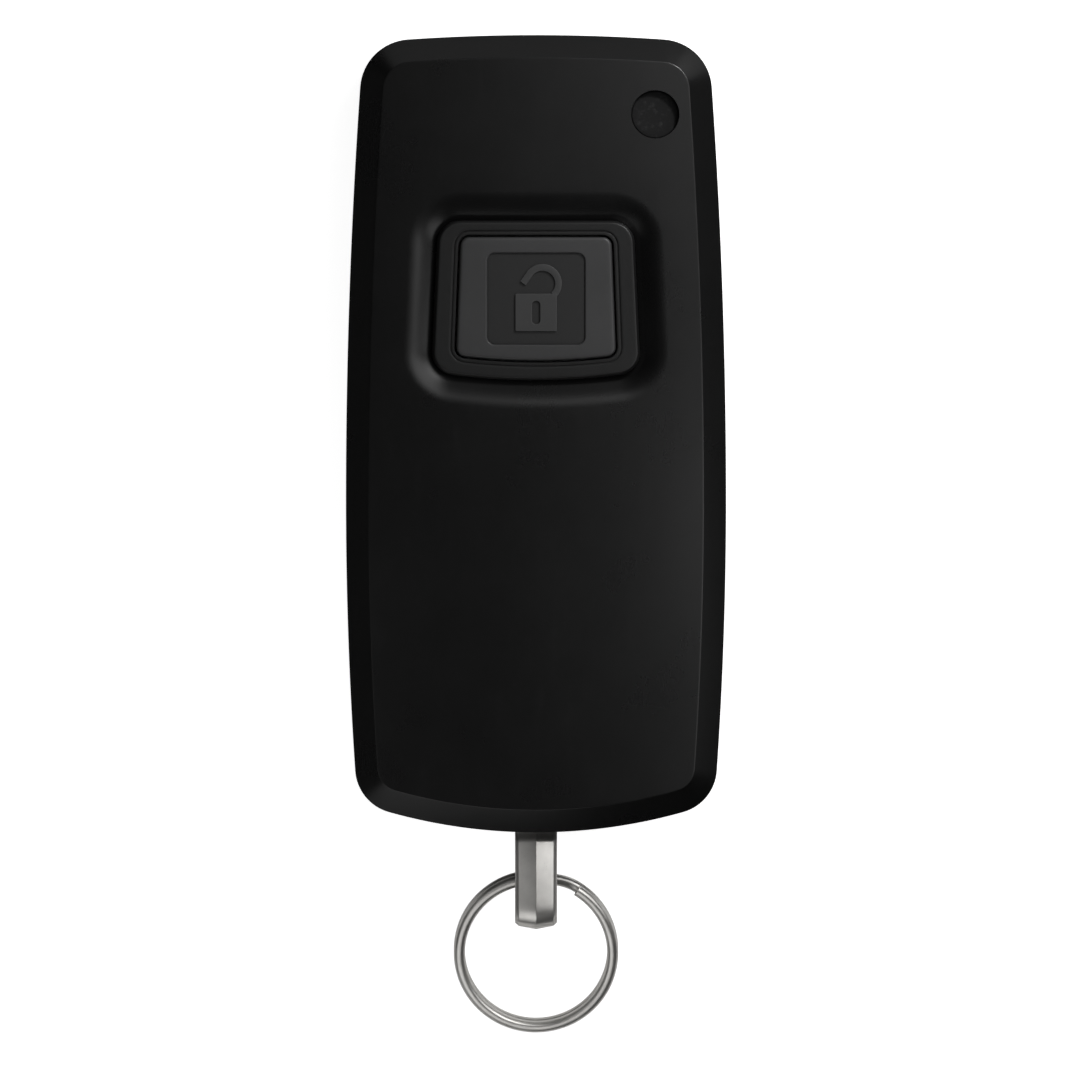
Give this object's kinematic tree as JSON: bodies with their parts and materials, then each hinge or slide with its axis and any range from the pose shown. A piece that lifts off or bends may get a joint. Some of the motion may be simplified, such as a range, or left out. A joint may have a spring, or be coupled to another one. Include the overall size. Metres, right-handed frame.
{
  "type": "door lock remote control",
  "caption": "Pocket radio remote for a door lock: black two-shell housing with a framed press button, lamp window, coin cell door, swinging metal link and split ring.",
  "frame": {"origin": "middle of the housing's outline, on its back face", "axes": "+X to the right and +Y to the housing's top as the front face is seen, +Z out of the front face"},
  "size_m": [0.037, 0.0975, 0.0134],
  "materials": {
    "front_shell": "satin gloss black moulded plastic",
    "rear_shell": "fine spark-eroded black moulded plastic",
    "bezel_plastic": "satin black moulded plastic",
    "button_plastic": "matt dark grey moulded plastic",
    "window_plastic": "smoked clear plastic over a dark well",
    "seal_rubber": "black rubber",
    "cell_steel": "nickel plated steel",
    "contact_metal": "plated spring strip",
    "board_laminate": "green solder mask",
    "chip_body": "moulded black package",
    "stem_plastic": "natural nylon",
    "silicone": "grey silicone rubber",
    "lamp_plastic": "diffused lamp resin",
    "antenna_wire": "bare copper wire",
    "capacitor_body": "tan ceramic chip",
    "screw_steel": "plain steel",
    "link_nickel": "satin brushed nickel",
    "ring_nickel": "bright nickel plated spring steel"
  },
  "bodies": {
    "housing": {"front_cover": "front_shell", "rear_cover": "rear_shell", "button_bezel": "bezel_plastic", "indicator_window": "window_plastic", "coin_cell_can": "cell_steel", "coin_cell_cap": "cell_steel", "coin_cell_gasket": "seal_rubber", "positive_contact": "contact_metal", "negative_contact": "contact_metal", "circuit_board": "board_laminate", "switch_body": "chip_body", "switch_plate": "contact_metal", "switch_dome": "contact_metal", "keypad_membrane": "silicone", "indicator_led": "lamp_plastic", "radio_chip": "chip_body", "crystal": "cell_steel", "loop_antenna": "antenna_wire", "chip_capacitors": "capacitor_body", "chip_resistors": "chip_body", "case_screws": "screw_steel", "link_pin": "screw_steel"},
    "button": {"button_cap": "button_plastic"},
    "stem": {"switch_stem": "stem_plastic"},
    "door": {"battery_door": "rear_shell", "door_seal": "seal_rubber"},
    "link": {"key_link": "link_nickel"},
    "ring": {"split_ring": "ring_nickel"}
  },
  "joints": [
    {"name": "button_press", "type": "slide", "parent": "housing", "child": "button", "axis": [0, 0, -1], "range_m": [0, 0.00035], "stiffness_N_per_m": 3000, "springref_m": -0.0003, "deforming": ["keypad_membrane", "switch_dome"]},
    {"name": "stem_press", "type": "slide", "parent": "housing", "child": "stem", "axis": [0, 0, -1], "range_m": [0, 0.00035]},
    {"name": "door_turn", "type": "hinge", "parent": "housing", "child": "door", "pos_m": [0, -0.015, 0.0012], "axis": [0, 0, -1], "range_deg": [0, 45]},
    {"name": "link_swing", "type": "hinge", "parent": "housing", "child": "link", "pos_m": [0, -0.036, 0.00519], "axis": [-1, 0, 0], "range_deg": [0, 25]},
    {"name": "ring_swing", "type": "hinge", "parent": "link", "child": "ring", "pos_m": [0, -0.04331, 0.00519], "axis": [-1, 0, 0], "range_deg": [-95, 100]}
  ],
  "couplings": [
    {"joint": "stem_press", "follows": "button_press", "ratio": 1}
  ]
}
